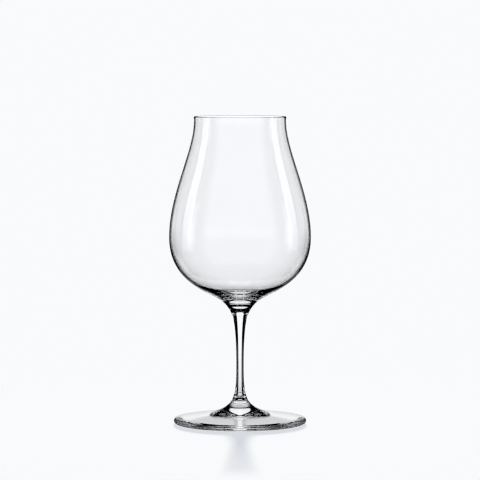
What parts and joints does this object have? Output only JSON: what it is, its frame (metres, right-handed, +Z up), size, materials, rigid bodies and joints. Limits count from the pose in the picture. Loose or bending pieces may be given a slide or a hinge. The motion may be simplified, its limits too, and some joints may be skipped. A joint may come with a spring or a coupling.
{
  "type": "wine glass",
  "caption": "Stemmed tulip wine glass: a thin-walled bowl drawn in to a slightly flared rim, fused to a slim stem on a wide round foot, for serving and nosing wine.",
  "frame": {"origin": "centre of the foot's standing ring, on the plane that the glass stands on", "axes": "+Z up along the glass's own axis, from the foot to the rim; the glass is round, so +X and +Y are any two directions square to it"},
  "size_m": [0.0922, 0.0922, 0.2],
  "materials": {
    "clear_glass": "fire-polished, clear and glossy"
  },
  "bodies": {
    "root": {"bowl": "clear_glass", "stem": "clear_glass", "foot": "clear_glass"}
  },
  "joints": []
}
